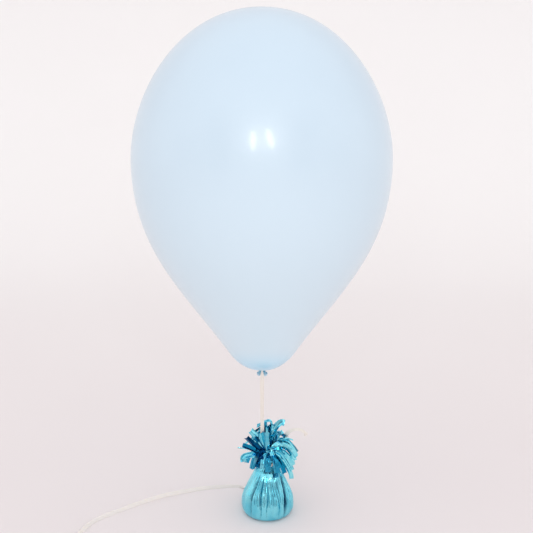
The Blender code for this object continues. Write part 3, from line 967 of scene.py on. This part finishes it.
# ---------------------------------------------------------------------------------------------
# The plume: above the neck the foil is cut into strips, which spring out and droop in four plies.
# Each strip keeps the crease or curl that the cutting gave it.
# ---------------------------------------------------------------------------------------------

PLUME_ROOT_Z = 0.0615
PLUME_ORIGIN = Vector((weight_middle.x, weight_middle.y, 0.0640))

# In mm: each ply leaves the neck a step further from its middle, and every strip goes straight up
# for a little before it parts from the rest
PLY_START = 0.8
PLY_STEP = 0.9
NECK_RISE = 4.5

# The strips of the near side, placed one by one. First, points in mm from the middle of the neck
# (right, back, up). Then width in mm, the way the tip's flat face looks, how sharp its crease is,
# its ply, and how much painted shade it gets, 0 to 1
NEAR_STRIPS = [
    (
        [(-2.0, -2.2, 11), (-7, -2.6, 22), (-13, -3, 32), (-20, -3.5, 41)],
        7.5, (0.1, -0.8, 0.6), 0.16, 2, 0.08,
    ),
    (
        [(-1.5, -2.6, 11), (-4.5, -3.2, 21), (-7, -3.6, 30), (-8.5, -3.8, 38)],
        6.5, (0.2, -0.9, 0.5), 0.16, 1, 0.15,
    ),
    (
        [(-1.0, -3, 12), (-1.5, -3.5, 22), (-2.2, -4, 31), (-2.6, -4.5, 40)],
        8.0, (-0.3, -0.9, -0.1), 0.20, 1, 0.3,
    ),
    (
        [(-3, -3.0, 11), (-10, -4.5, 18), (-17, -6, 26), (-25, -7, 34)],
        7.0, (0.2, -0.9, -0.4), 0.24, 2, 0.85,
    ),
    (
        [(-3, -3.5, 12), (-7, -5, 20), (-11, -6, 27), (-14, -6.5, 34)],
        4.0, (-0.3, -0.9, -0.5), 0.22, 1, 0.7,
    ),
    (
        [(-3, -4, 10), (-11, -6, 15), (-20, -8, 21), (-29, -9, 25)],
        5.5, (-0.1, -0.7, 0.7), 0.20, 3, 0.55,
    ),
    (
        [(-4, -4, 9), (-12, -7, 12), (-21, -10, 13), (-28, -12, 11), (-28, -14, 6)],
        7.0, (0, -0.9, 0.35), 0.22, 3, 0.2,
    ),
    (
        [(-4, -3, 11), (-14, -4, 16), (-25, -4, 18), (-35, -3, 19)],
        1.3, (0, -0.6, 0.8), 0.10, 2, 0.1,
    ),
    (
        [(-4, -5, 9), (-8, -9, 8), (-11, -12, 3), (-12, -13, -2)],
        6.0, (-0.3, -0.9, 0.1), 0.22, 4, 0.8,
    ),
    (
        [(-2, -5, 10), (-4, -10, 10), (-5.5, -14, 5), (-6, -15, -1)],
        6.0, (0.2, -1, 0.1), 0.24, 4, 0.2,
    ),
    (
        [(0.5, -5, 10), (1, -11, 9), (0.5, -15, 3), (0, -16, -6)],
        6.5, (0, -0.9, 0.4), 0.18, 4, 0.45,
    ),
    (
        [(3, -5, 10), (8, -10, 9), (11, -14, 2), (12, -15.5, -7)],
        5.5, (-0.2, -0.8, 0.5), 0.22, 4, 0.5,
    ),
    (
        [(4, -4, 10), (9, -9, 10), (14, -12, 4), (18, -13, -3), (20, -13.5, -9)],
        5.5, (0.2, -0.9, 0.3), 0.2, 4, 0.5,
    ),
    (
        [(4, -3, 11), (10, -6, 13), (17, -8, 7), (23, -9.5, -2), (27, -10, -11), (28, -10, -18)],
        5.5, (0.5, -0.8, 0.2), 0.22, 4, 0.0,
    ),
    (
        [(4, -2, 12), (12, -3, 15), (20, -4, 12), (27, -5, 4), (30, -5, -2)],
        6.5, (0.4, -0.7, 0.5), 0.22, 3, 0.1,
    ),
    (
        [(4, -2, 11), (11, -4, 13), (19, -6, 9), (25, -7.5, 1), (29, -8, -8)],
        6.0, (0.5, -0.8, 0.3), 0.22, 4, 0.15,
    ),
    (
        [(2, -4, 10), (6, -9, 8), (9, -12, 1), (10, -13.5, -8), (10.5, -15, -13)],
        5.0, (0.3, -0.9, 0.2), 0.22, 4, 0.35,
    ),
    (
        [(4, 0, 12), (13, 0, 19), (22, -1, 18), (29, -2, 10), (32, -3, 2)],
        6.0, (0.4, -0.6, 0.6), 0.2, 3, 0.05,
    ),
    (
        [(4, -1, 13), (11, -1, 21), (19, -1, 23), (28, -2, 17), (34, -3, 8)],
        7.5, (0.3, -0.6, 0.6), 0.2, 3, 0.0,
    ),
    (
        [(4, 0, 13), (13, 2, 25), (22, 3, 26), (30, 2.5, 19), (35, 1, 11)],
        6.0, (0.4, -0.4, 0.8), 0.2, 2, 0.1,
    ),
    (
        [(3, 2, 12), (11, 3, 23), (20, 3, 28), (30, 2, 26)],
        2.2, (0.2, -0.6, 0.7), 0.2, 3, 0.1,
    ),
    (
        [(3, 3, 12), (8, 4, 22), (13, 5, 31), (18, 5, 36)],
        5.0, (-0.3, -0.5, 0.8), 0.18, 2, 0.1,
    ),
    (
        [(1, 3, 12), (4, 5, 27), (9, 6.5, 40), (15, 7, 46), (20, 6, 46)],
        7.5, (-0.2, -0.7, 0.7), 0.12, 1, 0.0,
    ),
    (
        [(0, 3, 12), (2, 5.5, 28), (4.5, 7, 42), (3, 7, 48), (-2, 6, 48), (-4, 5, 44)],
        5.0, (0.2, -0.3, 0.9), 0.1, 1, 0.1,
    ),
    (
        [(-1, -4, 11), (2, -8, 17), (4, -10, 18), (6, -13, 14)],
        5.0, (0.1, -0.9, 0.3), 0.25, 3, 0.1,
    ),
    (
        [(-1, -4, 11), (-5, -8, 16), (-8, -12, 16), (-10, -15, 12)],
        5.0, (-0.2, -0.9, 0.2), 0.25, 3, 0.9,
    ),
    (
        [(3, -4, 11), (8, -8, 16), (14, -11, 15), (19, -13, 9)],
        5.5, (0.2, -0.9, 0.4), 0.25, 3, 0.1,
    ),
]

# Each strip's painted shade says how much darker it is painted, 0 to 1, standing in for its facing away
# from the light. Streaks of painted reflection run along it and differ from strip to strip, and every
# strip is painted darker where it leaves the neck, as painted shade
strip_foil = Finish("foil_strips", Metallic=1.0)
strip_painted_shade = strip_foil.node("Attribute", {}, output="Fac", attribute_name="turned")
strip_lines = strip_foil.node("Mapping", {"Vector": strip_foil.uv, "Scale": (5.0, 0.9, 1.0)})
streak_inputs = {"Vector": strip_lines, "W": strip_painted_shade * 40, "Scale": 1.0, "Detail": 1.0}
strip_painted_streaks = strip_foil.node("TexNoise", streak_inputs, noise_dimensions="4D")
strip_root_shade = strip_foil.uv.part(1).spread(0.18, 0.46, 0.78, 0.0)
strip_shade_sum = strip_painted_shade + strip_root_shade + strip_painted_streaks.spread(0.54, 0.70) * 0.30
strip_dent = strip_foil.at.noise(260, detail=2.0)
strip_fine = strip_foil.at.noise(1800, detail=1.0)
strip_open = strip_dent.spread(0.35, 0.65).mix(colour(118, 222, 240), colour(156, 240, 250))
strip_half_shaded = strip_shade_sum.spread(0.0, 0.55).mix(strip_open, colour(22, 148, 190))
strip_foil.set("Base Color", strip_shade_sum.spread(0.40, 1.0).mix(strip_half_shaded, colour(5, 78, 126)))
strip_foil.set("Roughness", strip_fine.spread(0.3, 0.7, 0.11, 0.20))
strip_foil.bump(strip_dent + strip_fine * 0.03, 0.4, 0.0007)

chance = random.Random(11)
plies = {1: [], 2: [], 3: [], 4: []}


def foil_strip(points, width, tip_facing, crease, ply, turned):
    """One cut strip: it rises from the neck and bends over to its tip, creased along its middle."""
    lead = Vector(points[0])
    root = Vector((lead.x, lead.y, 0)).normalized() * (PLY_START + PLY_STEP * ply)
    root.z = (PLUME_ROOT_Z - PLUME_ORIGIN.z) * 1000
    neck = Vector((root.x, root.y, root.z + NECK_RISE))
    route = [PLUME_ORIGIN + point / 1000 for point in curve_through([root, neck, *points], 7)]
    last = len(route) - 1
    outward = Vector((root.x, root.y, 0)).normalized()
    at_tip = Vector(tip_facing).normalized()
    facings = [outward.lerp(at_tip, min(1.0, 1.5 * i / last)) for i in range(last + 1)]
    widths = [width / 1000 * min(1.0, 0.30 + 2.2 * i / last) for i in range(last + 1)]
    fold = chance.choice((-1, 1)) * 1.6 * crease * width / 1000
    off_middle = chance.uniform(-0.15, 0.15)
    wave = chance.uniform(0, 6.3)

    def creased(u, v):
        ridge = fold * (1 - abs(2 * (u + off_middle) - 1)) * min(1.0, 3 * v)
        buckle = 0.0006 * math.sin(11 * v + wave) * (u - 0.5) * v
        ripple = 0.0003 * math.sin(17 * v + 2 * wave) * v
        return ridge + buckle + ripple

    number = sum(len(strips) for strips in plies.values())
    made = film(
        f"plume_strip_{number:02d}", route, facings, widths, strip_foil, FOIL_FILM, across=8, shape=creased
    )
    # Painted shade: each strip's darkness, with a little random spread.
    tone_with_painted_light = made.data.attributes.new("turned", "FLOAT", "POINT")
    tone_with_painted_light.data.foreach_set("value", [turned + chance.uniform(-0.05, 0.05)] * len(made.data.vertices))
    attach(made, "weight")
    plies[ply].append(made)


for strip in NEAR_STRIPS:
    foil_strip(*strip)

# The far side, ply by ply: strips, first and last direction (degrees), then the lowest and the
# highest that a tip reaches and how far out it gets (mm)
FAR_PLIES = {
    1: (7, 40, 172, 30, 44, 17),
    2: (9, 12, 190, 16, 32, 25),
    3: (10, 4, 176, 2, 16, 29),
    4: (9, -2, 166, -18, -6, 26),
}
for ply, (count, first, last, tip_low, tip_high, reach) in FAR_PLIES.items():
    for i in range(count):
        angle = math.radians(first + (last - first) * (i + 0.5) / count + chance.uniform(-4, 4))
        out = Vector((math.cos(angle), math.sin(angle), 0))
        tip = out * reach * chance.uniform(0.85, 1.1) + Vector((0, 0, chance.uniform(tip_low, tip_high)))
        crest = 14 + max(0.0, tip.z) * 0.75
        points = [
            out * 4 + Vector((0, 0, 11)),
            tip * 0.45 + Vector((0, 0, crest - tip.z * 0.45)),
            tip * 0.80 + Vector((0, 0, crest * 0.55 + tip.z * 0.45 - tip.z * 0.80)),
            tip,
        ]
        side = out.cross(Vector((0, 0, 1)))
        facing = out * 0.5 + Vector((0, 0, 0.7)) + side * chance.uniform(-0.7, 0.7)
        width = chance.uniform(4.2, 7.2)
        crease = chance.uniform(0.14, 0.26)
        foil_strip(points, width, facing, crease, ply, chance.uniform(0.0, 0.35))

for ply, strips in plies.items():
    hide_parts(f"fringe_ply_{ply}")

# ---------------------------------------------------------------------------------------------
# What the foil hides: the elastic band, the plastic cup, the plaster in it and the card disc
# underneath. These keep their CAD shapes.
# ---------------------------------------------------------------------------------------------

band_finish = Finish("elastic_clear", Roughness=0.3, Specular_IOR_Level=0.5)
band_fleck = band_finish.at.noise(900)
band_finish.set("Base Color", band_fleck.mix(colour(196, 220, 228), colour(230, 240, 242)))

cup_finish = Finish("cup_plastic", Roughness=0.42)
cup_fleck = cup_finish.at.noise(240, detail=3.0)
cup_finish.set("Base Color", cup_fleck.mix(colour(222, 222, 218), colour(238, 238, 234)))

plaster_finish = Finish("plaster", Roughness=0.92)
plaster_pit = plaster_finish.at.noise(320, detail=5.0, roughness=0.7)
plaster_finish.set("Base Color", plaster_pit.mix(colour(204, 200, 190), colour(236, 233, 226)))
plaster_finish.bump(plaster_pit, 0.6, 0.0006)

card_finish = Finish("card", Roughness=0.85)
card_fibre = card_finish.at.noise(600, detail=4.0, stretch=(1, 0.15, 1))
card_finish.set("Base Color", card_fibre.mix(colour(176, 154, 122), colour(206, 188, 158)))
card_finish.bump(card_fibre, 0.3, 0.0002)

for node, finish in (
    ("neck_band", band_finish),
    ("weight_cup", cup_finish),
    ("plaster_fill", plaster_finish),
    ("base_disc", card_finish),
):
    shown = frame["nodes"][node]
    shown.data.materials.clear()
    shown.data.materials.append(finish.material)
